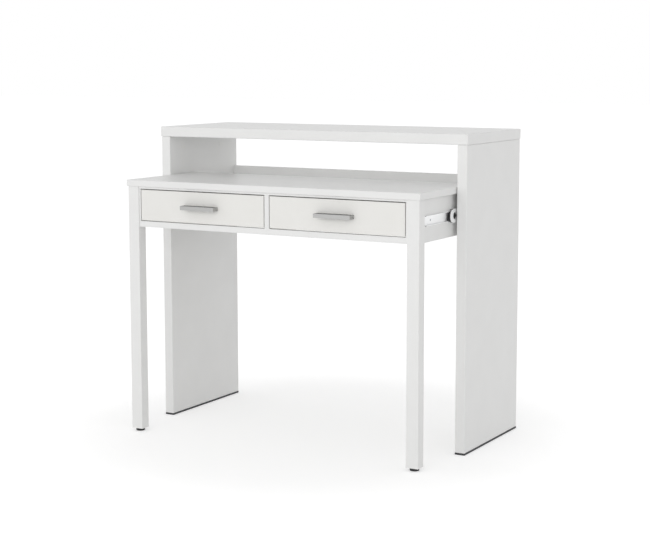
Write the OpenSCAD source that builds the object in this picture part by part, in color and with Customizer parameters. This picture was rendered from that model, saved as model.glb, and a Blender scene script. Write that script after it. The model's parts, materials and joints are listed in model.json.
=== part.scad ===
// Extendable desk: a console table and a desk with two drawers that slides out from under it
// on two telescopic slides. X runs across, Y from front to back and Z up from the floor.
// The desk stands partly pulled out, and the origin is on the floor in the middle of the whole.

/* [Console] */
// Width over the console top
console_w = 990; // [860:10:1400]
// Depth of the console top, front to back
console_d = 360; // [330:5:460]
// Height of the console top above the floor
console_h = 865; // [800:5:1000]
// Thickness of the console top
console_top_t = 29; // [22:1:40]
// Thickness of each side panel
side_panel_t = 29; // [22:1:40]
// How far the console top stands out past the side panels at the front and the sides
console_overhang = 2; // [0:0.5:8]
// Height of the back rail
back_rail_h = 120; // [60:5:160]
// Thickness of the back rail
back_rail_t = 16; // [15:1:22]
// How far the back rail's top edge stands above the desk top
back_rail_rise = 6; // [2:1:30]
// Thickness of the dark strip under each side panel
floor_strip_t = 5; // [2:0.5:8]

/* [Desk] */
// Height of the desk top above the floor
desk_h = 724; // [680:2:760]
// How far the desk is pulled out as it stands here
desk_out = 209; // [60:1:240]
// Thickness of the desk top
desk_top_t = 18; // [15:1:25]
// How far the desk top stands out past the legs at the front
desk_top_overhang = 4; // [0:0.5:12]
// Width of each leg, across
leg_w = 35; // [30:1:50]
// Depth of each leg, front to back
leg_d = 31; // [26:1:45]
// Height of the drawer frame and the side rails under the desk top
apron_h = 114; // [100:1:140]
// Thickness of the rear rail
rear_rail_t = 16; // [15:1:22]
// Diameter of the round glide under each leg
glide_d = 25; // [16:1:30]
// Height of the glide under each leg
glide_h = 8; // [4:1:15]

/* [Drawer frame] */
// Thickness of the front frame, front to back
frame_t = 16; // [12:1:22]
// How far the front frame lies back from the legs' front faces
frame_recess = 3; // [0:0.5:8]
// Height of the frame's bar under the drawers
frame_bottom_h = 16.5; // [10:0.5:22]
// Height of the frame's strip above the drawers
frame_top_h = 6.5; // [3:0.5:12]
// Width of the frame's strip beside each leg
frame_side_w = 5; // [3:0.5:12]
// Width of the frame's middle bar, and thickness of the divider behind it
divider_t = 14; // [12:1:22]

/* [Drawers] */
// Thickness of a drawer front
drawer_front_t = 16; // [12:1:20]
// Gap round a drawer front in its window
drawer_front_gap = 2.5; // [1.5:0.5:4]
// Thickness of a drawer's sides and back
drawer_board_t = 12; // [10:1:15]
// Thickness of a drawer's bottom
drawer_bottom_t = 3; // [3:0.5:6]
// Length of a drawer's sides, front to back
drawer_side_len = 275; // [255:1:276]
// How far a drawer's sides lie below the top of its window, and above the bottom of it
drawer_side_margin = 11; // [8:1:16]
// Height of a drawer's bottom above the lower edge of its sides
drawer_bottom_lift = 6; // [5:1:12]
// Depth of the groove that holds a drawer's bottom
drawer_groove = 4; // [3:1:6]
// How far a drawer opens
drawer_travel = 180; // [100:5:180]

/* [Handles] */
// Length of a handle
handle_len = 110; // [90:1:200]
// Height of a handle
handle_h = 11; // [8:1:20]
// How far a handle stands out from the drawer front
handle_d = 24; // [20:1:35]
// Thickness of a handle's bar, front to back
handle_bar_t = 7; // [5:1:10]
// Thickness of a handle's top, which closes the room for the fingers from above
handle_top_t = 2.5; // [2:0.5:3]
// Width of a handle's end posts
handle_post_w = 13; // [10:1:18]

/* [Telescopic slides] */
// Thickness of a slide, between the side panel and the desk's side rail
slide_t = 12.7; // [12.2:0.1:13.5]
// Height of a slide's outer member
slide_h = 45.6; // [44:0.2:50]
// Thickness of a slide's steel
slide_steel_t = 1.2; // [1:0.1:1.4]
// Diameter of a slide's balls
slide_ball_d = 4.4; // [4:0.1:4.8]
// How far a slide's front end lies back from the leg's front face when the desk is shut
slide_setback = 39; // [32:1:60]
// How much shorter the middle member is than the slide
middle_shortfall = 40; // [30:2:50]
// Length of an outer ball cage, between the outer and the middle member
outer_cage_len = 110; // [60:5:110]
// Length of an inner ball cage, between the middle and the inner member
inner_cage_len = 65; // [40:5:65]
// Diameter of the hole near the middle member's rounded front end
middle_hole_d = 18; // [8:1:20]
// How far that hole's centre lies behind the front end
middle_hole_setback = 28; // [18:1:30]
// Height of the black stop
stop_h = 26.8; // [20:0.2:30]
// How far the black stop's top and bottom stand out in front of the middle member
stop_reach = 4.5; // [2:0.5:12]
// How deep the black stop's front is hollowed between its top and bottom
stop_hollow = 3.5; // [1:0.5:5]

/* [Drawer runners] */
// Length of a drawer's runner and of its track
runner_len = 250; // [240:1:254]
// Height of a runner's track
runner_h = 27; // [26:0.5:30]
// Thickness of a track with its runner
runner_t = 10; // [9.6:0.1:12]
// Thickness of a runner's steel
runner_steel_t = 1.1; // [0.9:0.1:1.2]
// Diameter of a runner's balls
runner_ball_d = 3.2; // [3:0.1:3.4]
// Length of a runner's ball cage
runner_cage_len = 65; // [40:5:65]

/* [Fittings] */
// Diameter of a cam lock
cam_d = 15; // [12:0.5:16]
// Depth of a cam lock's bore
cam_depth = 12.5; // [11:0.5:13.5]
// Distance from a cam lock's centre to the joint that it draws shut
cam_setback = 34; // [24:1:36]
// Diameter of a cam bolt
cam_bolt_d = 6; // [5:0.5:7]
// Diameter of a cover cap
cap_d = 17; // [16:0.5:20]
// Diameter of a dowel between two thick boards
dowel_d = 8; // [6:1:8]
// Length of a dowel between two thick boards
dowel_len = 30; // [24:1:32]
// Diameter of a dowel that enters a thin board
thin_dowel_d = 6; // [5:1:6]
// Length of a dowel that enters a thin board
thin_dowel_len = 22; // [18:1:24]
// Diameter of a wood screw
screw_d = 4; // [3:0.5:4.5]

/* [Fits] */
// Gap between a leg and the side panel beside it
leg_side_gap = 6; // [3:0.5:10]
// Gap between each end of the desk top and the side panel beside it
desk_top_side_gap = 2; // [1:0.5:4]
// Gap between the shut desk's rear edge and the back rail
desk_rear_gap = 6; // [4:1:20]
// Gap between a slide's rear end and the back rail
slide_rear_gap = 5; // [2:1:20]
// Clearance round a ball in its cage and its races
ball_gap = 0.05; // [0.03:0.01:0.1]
// How deep a ball sits in each race
race_depth = 0.4; // [0.3:0.05:0.5]
// Clearance round a screw, a dowel or a fitting in its bore
bore_gap = 0.05; // [0.02:0.01:0.1]

/* [Hidden] */
$fn = 48;

// A side is LEFT or RIGHT, and every piece of a pair is drawn on the right and mirrored
LEFT = -1;
RIGHT = 1;

// Places across
panel_outer_x = console_w / 2 - console_overhang;
panel_inner_x = panel_outer_x - side_panel_t;
leg_outer_x = panel_inner_x - leg_side_gap;
leg_inner_x = leg_outer_x - leg_w;
rail_outer_x = panel_inner_x - slide_t;
rail_inner_x = leg_inner_x - frame_side_w;
divider_x = divider_t / 2;

// Places up
panel_top_z = console_h - console_top_t;
apron_top_z = desk_h - desk_top_t;
apron_z = apron_top_z - apron_h;
window_z = apron_z + frame_bottom_h;
window_top_z = apron_top_z - frame_top_h;
window_mid_z = (window_z + window_top_z) / 2;
slide_z = (apron_z + apron_top_z) / 2;
back_rail_top_z = desk_h + back_rail_rise;
back_rail_z = back_rail_top_z - back_rail_h;

// Places from front to back
front_reach = max(handle_d - frame_recess, desk_top_overhang);
overall_d = console_d + desk_out + front_reach;
console_back_y = overall_d / 2;
console_y = console_back_y - console_d;
panel_y = console_y + console_overhang;
panel_d = console_back_y - panel_y;
back_rail_y = console_back_y - back_rail_t;
leg_y = console_y - desk_out;
leg_back_y = leg_y + leg_d;
frame_y = leg_y + frame_recess;
frame_back_y = frame_y + frame_t;
desk_d = console_d - back_rail_t - desk_rear_gap;
desk_back_y = leg_y + desk_d;
rear_rail_y = desk_back_y - rear_rail_t;

// The telescopic slides: the desk opens by the slide's own length
slide_len = console_d - back_rail_t - slide_rear_gap - slide_setback;
desk_travel = slide_len;
travel_left = desk_travel - desk_out;
slide_y = console_y + slide_setback;
slide_inner_y = slide_y - desk_out;
middle_len = slide_len - middle_shortfall;
middle_rear_gap = 6.5;
middle_y = slide_y + middle_shortfall - middle_rear_gap - desk_out / 2;
tongue_past_hole = 12;
stop_tongue = middle_hole_setback + tongue_past_hole;
cage_end_gap = 4;
outer_cage_y = slide_y + middle_shortfall / 2 + travel_left / 4;
inner_cage_y = middle_y - travel_left / 2 + stop_tongue + cage_end_gap + travel_left * 3 / 4;
slide_race_gap = slide_ball_d - 2 * race_depth;
slide_top_v = slide_h / 2 - slide_steel_t;
middle_top_v = slide_top_v - slide_race_gap;
nose_inset = 0.8;
middle_nose_r = middle_top_v - nose_inset;
middle_nose_y = middle_y + middle_nose_r;
inner_top_v = middle_top_v - slide_steel_t - slide_race_gap;
middle_web_u = 2.8;
inner_lip_u = 5.6;
slide_ball_u = 8.4;
member_gap = 0.3;
slide_lip_u = slide_t - slide_steel_t - member_gap;
cage_t = 0.8;
cage_arm_t = 1.6;
outer_cage_u = slide_steel_t + (middle_web_u - slide_steel_t - cage_t) / 2;
inner_cage_u = middle_web_u + slide_steel_t + member_gap;
cage_arm_end_u = 10.8;

// The drawers, drawn for the right one
drawer_w0 = divider_x + runner_t;
drawer_w1 = rail_inner_x - runner_t;
drawer_y = frame_y + drawer_front_t;
drawer_z = window_z + drawer_side_margin;
drawer_side_h = window_top_z - window_z - 2 * drawer_side_margin;
drawer_back_y = drawer_y + drawer_side_len;
drawer_bottom_z = drawer_z + drawer_bottom_lift;
drawer_mid_x = (divider_x + rail_inner_x) / 2;
runner_setback = 2;
runner_y = drawer_y + runner_setback;
runner_race_depth = 0.3;
runner_race_gap = runner_ball_d - 2 * runner_race_depth;
runner_top_v = runner_h / 2 - runner_steel_t;
runner_inner_v = runner_top_v - runner_race_gap;
runner_lip_u = 3.4;
runner_ball_u = 5.7;
runner_cage_gap = 0.5;
runner_cage_u = runner_steel_t + runner_cage_gap;
runner_cage_t = 0.8;
runner_cage_arm_t = 1.2;
runner_cage_arm_end_u = 7.8;
runner_overlap = runner_len - drawer_travel;
runner_cage_y = runner_y + drawer_travel / 2 + (runner_overlap - runner_cage_len) / 2;

// Places of fittings, as parts of the length or height of the board that they sit along
console_top_cam_places = [0.2, 0.75];
console_top_dowel_places = [0.1, 0.85];
back_rail_dowel_places = [0.15, 0.85];
strip_screw_places = [0.1, 0.5, 0.9];
desk_top_cam_places = [0.2, 0.7];
desk_top_dowel_places = [0.35, 0.83];
leg_cam_places = [0.25, 0.8];
leg_dowel_place = 0.55;
rear_rail_dowel_places = [0.15, 0.85];
divider_dowel_place = 0.15;
drawer_back_screw_places = [0.3, 0.8];
slide_screw_places = [0.12, 0.5, 0.9];
track_screw_places = [0.15, 0.85];

// Screws and cam fittings
screw_len = 16;
strip_screw_len = 20;
screw_tip_gap = 1;
track_screw_len = divider_t / 2 - screw_tip_gap;
screw_head_d = screw_d + 2 * slide_steel_t;
screw_head_space_d = screw_head_d + 4 * bore_gap;
back_screw_len = 28;
strip_screw_sink = 0.5;
cap_t = 0.4;
cap_plug_t = 1;
cap_plug_inset = 1;
cap_plug_gap = 0.2;
cam_bolt_depth = 8;
cam_bolt_reach = 11;
cam_bolt_room = 0.3;
cam_bolt_start = 1;
cam_bolt_end_d = cam_bolt_d - 1;
cam_slot_w = 1.2;
cam_slot_depth = 1.6;

// Room left at the blind end of a bore, how far a cut runs past a face, and how far
// two shapes of one solid run into each other so that they join
bore_end_room = 0.5;
overcut = 1;
join = 0.01;

// A solid board between two corners
module board(low, high) {
    translate(low)
        cube(high - low);
}

// Draws its children on the right, or mirrored on the left
module on_side(side) {
    mirror([side == LEFT ? 1 : 0, 0, 0])
        children();
}

// A profile drawn in X and Z, run along Y from a start for a length
module run_along(start_y, len) {
    translate([0, start_y + len, 0])
        rotate([90, 0, 0])
            linear_extrude(len)
                children();
}

// A rod from a point, along X or along Y
module rod_x(p, d, len) {
    translate(p)
        rotate([0, 90, 0])
            cylinder(d = d, h = len);
}

module rod_y(p, d, len) {
    translate(p)
        rotate([-90, 0, 0])
            cylinder(d = d, h = len);
}

// Cam fittings: the cam's open face looks along +Z at the origin, its bolt runs along +X
module cam_fitting() {
    difference() {
        translate([0, 0, -cam_depth + bore_gap])
            cylinder(d = cam_d - 2 * bore_gap, h = cam_depth - cap_plug_t - cap_plug_gap);
        rod_x([0, 0, -cam_bolt_depth], cam_bolt_d + 2 * cam_bolt_room, cam_d);
        for (turn = [0, 90])
            rotate([0, 0, turn])
                translate([-cam_d / 4, -cam_slot_w / 2, -cap_plug_t - cam_slot_depth])
                    cube([cam_d / 2, cam_slot_w, cam_slot_depth + overcut]);
    }
    rod_x([cam_bolt_start, 0, -cam_bolt_depth], cam_bolt_d, cam_setback - cam_bolt_start);
    rod_x([cam_setback, 0, -cam_bolt_depth], cam_bolt_end_d, cam_bolt_reach);
}

module cam_space() {
    translate([0, 0, -cam_depth])
        cylinder(d = cam_d, h = cam_depth + overcut);
    rod_x([0, 0, -cam_bolt_depth], cam_bolt_d + 2 * bore_gap, cam_setback + join);
    rod_x([cam_setback, 0, -cam_bolt_depth], cam_bolt_end_d + 2 * bore_gap,
        cam_bolt_reach + bore_end_room);
}

module cam_cap() {
    cylinder(d = cap_d, h = cap_t);
    translate([0, 0, -cap_plug_t])
        cylinder(d = cam_d - cap_plug_inset, h = cap_plug_t + join);
}

// Places of the cam fittings, on the right side: console top, back rail and the desk's joints
module at_console_top_cams() {
    for (part = console_top_cam_places)
        translate([panel_inner_x, panel_y + panel_d * part, panel_top_z - cam_setback])
            rotate([0, -90, 0])
                children();
}

module at_back_rail_cams() {
    translate([panel_inner_x - cam_setback, console_back_y, (back_rail_z + back_rail_top_z) / 2])
        rotate([-90, 0, 0])
            children();
}

module at_desk_top_cams() {
    for (part = desk_top_cam_places)
        translate([rail_inner_x, leg_back_y + desk_d * part, apron_top_z - cam_setback])
            rotate([0, -90, 0])
                children();
}

module at_leg_cams() {
    for (part = leg_cam_places)
        translate([rail_inner_x, leg_back_y + cam_setback, apron_z + apron_h * part])
            rotate([90, 0, 0])
                rotate([0, -90, 0])
                    children();
}

module at_rear_rail_cams() {
    translate([rail_inner_x - cam_setback, desk_back_y, apron_z + apron_h / 2])
        rotate([-90, 0, 0])
            children();
}

// Dowels run along Z, centred on the joint at the origin, with chamfered ends
dowel_chamfer = 1;

module dowel_rod(d, len) {
    rotate_extrude()
        polygon([[0, -len / 2], [d / 2 - dowel_chamfer, -len / 2],
            [d / 2, -len / 2 + dowel_chamfer], [d / 2, len / 2 - dowel_chamfer],
            [d / 2 - dowel_chamfer, len / 2], [0, len / 2]]);
}

module dowel() dowel_rod(dowel_d, dowel_len);

module thin_dowel() dowel_rod(thin_dowel_d, thin_dowel_len);

module dowel_bore(d, len) {
    translate([0, 0, -len / 2 - bore_end_room])
        cylinder(d = d + 2 * bore_gap, h = len + 2 * bore_end_room);
}

module dowel_space() dowel_bore(dowel_d, dowel_len);

module thin_dowel_space() dowel_bore(thin_dowel_d, thin_dowel_len);

module at_console_top_dowels() {
    for (part = console_top_dowel_places)
        translate([panel_inner_x + side_panel_t / 2, panel_y + panel_d * part, panel_top_z])
            children();
}

module at_back_rail_dowels() {
    for (part = back_rail_dowel_places)
        translate([panel_inner_x, back_rail_y + back_rail_t / 2, back_rail_z + back_rail_h * part])
            rotate([0, 90, 0])
                children();
}

module at_desk_top_dowels() {
    for (part = desk_top_dowel_places)
        translate([(rail_inner_x + rail_outer_x) / 2, leg_back_y + desk_d * part, apron_top_z])
            children();
}

module at_leg_dowels() {
    translate([(leg_inner_x + rail_outer_x) / 2, leg_back_y,
        apron_z + apron_h * leg_dowel_place])
        rotate([90, 0, 0])
            children();
}

module at_frame_dowels() {
    translate([leg_inner_x, frame_y + frame_t / 2, apron_z + frame_bottom_h / 2])
        rotate([0, 90, 0])
            children();
}

module at_rear_rail_dowels() {
    for (part = rear_rail_dowel_places)
        translate([rail_inner_x, rear_rail_y + rear_rail_t / 2, apron_z + apron_h * part])
            rotate([0, 90, 0])
                children();
}

module at_divider_dowels() {
    translate([0, rear_rail_y, apron_z + apron_h * divider_dowel_place])
        rotate([90, 0, 0])
            children();
}

// Countersunk screws run along -Z from a flat head at the origin
module screw(len) {
    translate([0, 0, -len])
        cylinder(d = screw_d, h = len - slide_steel_t + join);
    translate([0, 0, -slide_steel_t])
        cylinder(d1 = screw_d, d2 = screw_head_d, h = slide_steel_t);
}

module screw_space(len) {
    translate([0, 0, -len - bore_end_room])
        cylinder(d = screw_d + 2 * bore_gap, h = len);
    translate([0, 0, -slide_steel_t - bore_gap])
        cylinder(d1 = screw_d + 2 * bore_gap, d2 = screw_head_space_d, h = slide_steel_t + 2 * bore_gap);
}

module at_strip_screws() {
    for (part = strip_screw_places)
        translate([panel_inner_x + side_panel_t / 2, panel_y + panel_d * part, strip_screw_sink])
            rotate([180, 0, 0])
                children();
}

module at_outer_member_screws() {
    for (part = slide_screw_places)
        translate([panel_inner_x - slide_steel_t, slide_y + slide_len * part, slide_z])
            rotate([0, -90, 0])
                children();
}

module at_inner_member_screws() {
    for (part = slide_screw_places)
        translate([rail_outer_x + slide_steel_t, slide_inner_y + slide_len * part, slide_z])
            rotate([0, 90, 0])
                children();
}

module at_outer_track_screws() {
    for (part = track_screw_places)
        translate([rail_inner_x - runner_steel_t, runner_y + runner_len * part, window_mid_z])
            rotate([0, -90, 0])
                children();
}

module at_inner_track_screws() {
    for (part = track_screw_places)
        translate([divider_x + runner_steel_t, runner_y + runner_len * part, window_mid_z])
            rotate([0, 90, 0])
                children();
}

module at_outer_runner_screws() {
    for (part = track_screw_places)
        translate([drawer_w1 + runner_steel_t, runner_y + runner_len * part, window_mid_z])
            rotate([0, 90, 0])
                children();
}

module at_inner_runner_screws() {
    for (part = track_screw_places)
        translate([drawer_w0 - runner_steel_t, runner_y + runner_len * part, window_mid_z])
            rotate([0, -90, 0])
                children();
}

// Console

module console_top() {
    color("white")
        difference() {
            board([-console_w / 2, console_y, panel_top_z], [console_w / 2, console_back_y, console_h]);
            for (side = [LEFT, RIGHT])
                on_side(side) {
                    at_console_top_cams() cam_space();
                    at_console_top_dowels() dowel_space();
                }
        }
}

module side_panel(side) {
    color("white")
        on_side(side)
            difference() {
                board([panel_inner_x, panel_y, floor_strip_t], [panel_outer_x, console_back_y, panel_top_z]);
                at_console_top_cams() cam_space();
                at_console_top_dowels() dowel_space();
                at_back_rail_cams() cam_space();
                at_back_rail_dowels() dowel_space();
                at_strip_screws() screw_space(strip_screw_len);
                at_outer_member_screws() screw_space(screw_len);
            }
}

module back_rail() {
    color("gainsboro")
        difference() {
            board([-panel_inner_x, back_rail_y, back_rail_z],
                [panel_inner_x, console_back_y, back_rail_top_z]);
            for (side = [LEFT, RIGHT])
                on_side(side) {
                    at_back_rail_cams() cam_space();
                    at_back_rail_dowels() dowel_space();
                }
        }
}

module floor_strip(side) {
    color("dimgray")
        on_side(side)
            difference() {
                board([panel_inner_x, panel_y, 0], [panel_outer_x, console_back_y, floor_strip_t]);
                at_strip_screws() screw_space(strip_screw_len);
                at_strip_screws() cylinder(d = screw_head_space_d, h = overcut);
            }
}

module floor_strip_screws() {
    color("silver")
        for (side = [LEFT, RIGHT])
            on_side(side)
                at_strip_screws() screw(strip_screw_len);
}

module console_dowels() {
    color("burlywood")
        for (side = [LEFT, RIGHT])
            on_side(side) {
                at_console_top_dowels() dowel();
                at_back_rail_dowels() dowel();
            }
}

module console_cam_fittings() {
    color("silver")
        for (side = [LEFT, RIGHT])
            on_side(side) {
                at_console_top_cams() cam_fitting();
                at_back_rail_cams() cam_fitting();
            }
}

module console_cam_caps() {
    color("white")
        for (side = [LEFT, RIGHT])
            on_side(side)
                at_console_top_cams() cam_cap();
}

// Telescopic slides. Their profiles count u from the side panel inwards, and v up from the middle

module slide_side(side) {
    on_side(side)
        translate([panel_inner_x, 0, slide_z])
            mirror([1, 0, 0])
                children();
}

// A channel: a web from u0 to u0 + t, and two flanges with their outer faces at v, out to u1
module channel(u0, u1, v, t) {
    translate([u0, -v])
        square([t, 2 * v]);
    for (flange_v = [v - t, -v])
        translate([u0, flange_v])
            square([u1 - u0, t]);
}

// The round races that a row of balls needs above and below, cut from a channel
module races(u, v, d) {
    for (row_v = [v, -v])
        translate([u, row_v])
            circle(d = d + 2 * ball_gap);
}

outer_balls_v = slide_top_v - slide_race_gap / 2;
inner_balls_v = inner_top_v + slide_race_gap / 2;

module slide_outer_member(side) {
    color("silver")
        difference() {
            slide_side(side)
                run_along(slide_y, slide_len)
                    difference() {
                        channel(0, slide_lip_u, slide_h / 2, slide_steel_t);
                        races(slide_ball_u, outer_balls_v, slide_ball_d);
                    }
            on_side(side)
                at_outer_member_screws() screw_space(screw_len);
        }
}

// The middle member's web runs out in a round nose with a hole, in front of its flanges
module slide_middle_member(side) {
    color("silver")
        slide_side(side)
            difference() {
                union() {
                    run_along(middle_nose_y, middle_len - middle_nose_r)
                        difference() {
                            channel(middle_web_u, slide_lip_u, middle_top_v, slide_steel_t);
                            races(slide_ball_u, outer_balls_v, slide_ball_d);
                            races(slide_ball_u, inner_balls_v, slide_ball_d);
                        }
                    rod_x([middle_web_u, middle_nose_y, 0], 2 * middle_nose_r, slide_steel_t);
                }
                rod_x([middle_web_u - overcut, middle_y + middle_hole_setback, 0], middle_hole_d,
                    slide_steel_t + 2 * overcut);
            }
}

// The inner member opens towards the side panel, and its web lies on the desk's side rail
module slide_inner_member(side) {
    color("white")
        difference() {
            slide_side(side)
                run_along(slide_inner_y, slide_len)
                    difference() {
                        union() {
                            translate([slide_t - slide_steel_t, -inner_top_v])
                                square([slide_steel_t, 2 * inner_top_v]);
                            for (flange_v = [inner_top_v - slide_steel_t, -inner_top_v])
                                translate([inner_lip_u, flange_v])
                                    square([slide_t - inner_lip_u, slide_steel_t]);
                        }
                        races(slide_ball_u, inner_balls_v, slide_ball_d);
                    }
            on_side(side)
                at_inner_member_screws() screw_space(screw_len);
        }
}

// A cage and its balls: a web, an arm along each row, and balls that sit in holes in the arms
module ball_cage(y, len, web_u, web_t, arm_end_u, row_v, arm_t, ball_u, ball_d, count) {
    pitch = len / count;
    difference() {
        run_along(y, len) {
            translate([web_u, -row_v - arm_t / 2])
                square([web_t, 2 * row_v + arm_t]);
            for (arm_v = [row_v, -row_v])
                translate([web_u, arm_v - arm_t / 2])
                    square([arm_end_u - web_u, arm_t]);
        }
        for (row = [-1, 1])
            for (i = [0 : count - 1])
                translate([ball_u, y + pitch * (i + 0.5), row * row_v - arm_t])
                    cylinder(d = ball_d + 2 * ball_gap, h = 2 * arm_t);
    }
    for (row = [-1, 1])
        for (i = [0 : count - 1])
            translate([ball_u, y + pitch * (i + 0.5), row * row_v])
                sphere(d = ball_d);
}

outer_cage_balls = 7;
inner_cage_balls = 5;

module slide_outer_cage(side) {
    color("dimgray")
        slide_side(side)
            ball_cage(outer_cage_y, outer_cage_len, outer_cage_u, cage_t, cage_arm_end_u,
                outer_balls_v, cage_arm_t, slide_ball_u, slide_ball_d, outer_cage_balls);
}

module slide_inner_cage(side) {
    color("dimgray")
        slide_side(side)
            ball_cage(inner_cage_y, inner_cage_len, inner_cage_u, cage_t, cage_arm_end_u,
                inner_balls_v, cage_arm_t, slide_ball_u, slide_ball_d, inner_cage_balls);
}

// The black stop: a block with a hollow front, cut round the middle member's nose, and a
// tongue behind the web
stop_web_t = 1;
stop_hollow_r = (stop_h * stop_h / 4 + stop_hollow * stop_hollow) / (2 * stop_hollow);

module slide_stop(side) {
    stop_front_y = middle_y - stop_reach;
    stop_back_u = inner_cage_u + stop_web_t;
    tongue_u = middle_web_u + slide_steel_t + bore_gap;
    color("black")
        slide_side(side)
            difference() {
                board([middle_web_u, stop_front_y, -stop_h / 2],
                    [stop_back_u, middle_y + stop_tongue, stop_h / 2]);
                rod_x([middle_web_u - overcut, stop_front_y + stop_hollow - stop_hollow_r, 0],
                    2 * stop_hollow_r, stop_back_u - middle_web_u + 2 * overcut);
                rod_x([middle_web_u - overcut, middle_nose_y, 0], 2 * (middle_nose_r + bore_gap),
                    tongue_u - middle_web_u + overcut);
                board([middle_web_u - overcut, middle_nose_y, -stop_h / 2 - overcut],
                    [tongue_u, middle_y + stop_tongue + overcut, stop_h / 2 + overcut]);
            }
}

module slide_outer_screws() {
    color("silver")
        for (side = [LEFT, RIGHT])
            on_side(side)
                at_outer_member_screws() screw(screw_len);
}

// Desk

module desk_top() {
    x = panel_inner_x - desk_top_side_gap;
    color("white")
        difference() {
            board([-x, leg_y - desk_top_overhang, apron_top_z], [x, desk_back_y, desk_h]);
            for (side = [LEFT, RIGHT])
                on_side(side) {
                    at_desk_top_cams() cam_space();
                    at_desk_top_dowels() thin_dowel_space();
                }
        }
}

module leg(side) {
    color("white")
        on_side(side)
            difference() {
                board([leg_inner_x, leg_y, glide_h], [leg_outer_x, leg_back_y, apron_top_z]);
                at_leg_cams() cam_space();
                at_leg_dowels() dowel_space();
                at_frame_dowels() dowel_space();
                at_glide() glide_pin(bore_gap, bore_end_room);
            }
}

module side_rail(side) {
    color("white")
        on_side(side)
            difference() {
                board([rail_inner_x, leg_back_y, apron_z], [rail_outer_x, desk_back_y, apron_top_z]);
                at_leg_cams() cam_space();
                at_leg_dowels() dowel_space();
                at_desk_top_cams() cam_space();
                at_desk_top_dowels() thin_dowel_space();
                at_rear_rail_cams() cam_space();
                at_rear_rail_dowels() dowel_space();
                at_inner_member_screws() screw_space(screw_len);
                at_outer_track_screws() screw_space(track_screw_len);
            }
}

module front_frame() {
    color("white")
        difference() {
            board([-leg_inner_x, frame_y, apron_z], [leg_inner_x, frame_back_y, apron_top_z]);
            for (side = [LEFT, RIGHT])
                on_side(side) {
                    board([divider_x, frame_y - overcut, window_z],
                        [rail_inner_x, frame_back_y + overcut, window_top_z]);
                    at_frame_dowels() dowel_space();
                }
        }
}

module drawer_divider() {
    color("gainsboro")
        difference() {
            board([-divider_x, frame_back_y, apron_z], [divider_x, rear_rail_y, apron_top_z]);
            at_divider_dowels() thin_dowel_space();
            for (side = [LEFT, RIGHT])
                on_side(side)
                    at_inner_track_screws() screw_space(track_screw_len);
        }
}

module rear_rail() {
    color("gainsboro")
        difference() {
            board([-rail_inner_x, rear_rail_y, apron_z], [rail_inner_x, desk_back_y, apron_top_z]);
            at_divider_dowels() thin_dowel_space();
            for (side = [LEFT, RIGHT])
                on_side(side) {
                    at_rear_rail_cams() cam_space();
                    at_rear_rail_dowels() dowel_space();
                }
        }
}

glide_pin_d = 6;
glide_pin_len = 22;
glide_round = 1.5;

module at_glide() {
    translate([(leg_inner_x + leg_outer_x) / 2, leg_y + leg_d / 2, 0])
        children();
}

module glide_pin(gap, end_room) {
    translate([0, 0, glide_h - join])
        cylinder(d = glide_pin_d + 2 * gap, h = glide_pin_len + end_room);
}

module glide(side) {
    color("black")
        on_side(side)
            at_glide() {
                rotate_extrude()
                    difference() {
                        square([glide_d / 2, glide_h]);
                        translate([glide_d / 2 - glide_round, 0])
                            difference() {
                                square([glide_round + overcut, glide_round]);
                                translate([0, glide_round])
                                    circle(r = glide_round);
                            }
                    }
                glide_pin(0, 0);
            }
}

module desk_dowels() {
    color("burlywood") {
        for (side = [LEFT, RIGHT])
            on_side(side) {
                at_desk_top_dowels() thin_dowel();
                at_leg_dowels() dowel();
                at_frame_dowels() dowel();
                at_rear_rail_dowels() dowel();
            }
        at_divider_dowels() thin_dowel();
    }
}

module desk_cam_fittings() {
    color("silver")
        for (side = [LEFT, RIGHT])
            on_side(side) {
                at_desk_top_cams() cam_fitting();
                at_leg_cams() cam_fitting();
                at_rear_rail_cams() cam_fitting();
            }
}

module desk_screws() {
    color("silver")
        for (side = [LEFT, RIGHT])
            on_side(side) {
                at_inner_member_screws() screw(screw_len);
                at_outer_track_screws() screw(track_screw_len);
                at_inner_track_screws() screw(track_screw_len);
            }
}

// Drawer runners. A track's profile counts u from the board that carries it to the drawer's side

module track_side(side, place) {
    on_side(side)
        translate([place == "outer" ? rail_inner_x : divider_x, 0, window_mid_z])
            mirror([place == "outer" ? 1 : 0, 0, 0])
                children();
}

runner_balls_v = runner_top_v - runner_race_gap / 2;

module drawer_track(side, place) {
    color("silver")
        difference() {
            track_side(side, place)
                run_along(runner_y, runner_len)
                    difference() {
                        channel(0, runner_t - runner_steel_t - member_gap, runner_h / 2, runner_steel_t);
                        races(runner_ball_u, runner_balls_v, runner_ball_d);
                    }
            on_side(side) {
                at_outer_track_screws() screw_space(track_screw_len);
                at_inner_track_screws() screw_space(track_screw_len);
            }
        }
}

module drawer_runner(side, place) {
    color("silver")
        difference() {
            track_side(side, place)
                run_along(runner_y, runner_len)
                    difference() {
                        union() {
                            translate([runner_t - runner_steel_t, -runner_inner_v])
                                square([runner_steel_t, 2 * runner_inner_v]);
                            for (flange_v = [runner_inner_v - runner_steel_t, -runner_inner_v])
                                translate([runner_lip_u, flange_v])
                                    square([runner_t - runner_lip_u, runner_steel_t]);
                        }
                        races(runner_ball_u, runner_balls_v, runner_ball_d);
                    }
            on_side(side) {
                at_outer_runner_screws() screw_space(track_screw_len);
                at_inner_runner_screws() screw_space(track_screw_len);
            }
        }
}

runner_balls = 4;

module drawer_ball_cages(side) {
    color("dimgray")
        for (place = ["outer", "inner"])
            track_side(side, place)
                ball_cage(runner_cage_y, runner_cage_len, runner_cage_u, runner_cage_t, runner_cage_arm_end_u,
                    runner_balls_v, runner_cage_arm_t, runner_ball_u, runner_ball_d, runner_balls);
}

// Drawers

module at_handle_screws() {
    for (end = [-1, 1])
        translate([drawer_mid_x + end * (handle_len - handle_post_w) / 2, drawer_y, window_mid_z])
            children();
}

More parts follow.
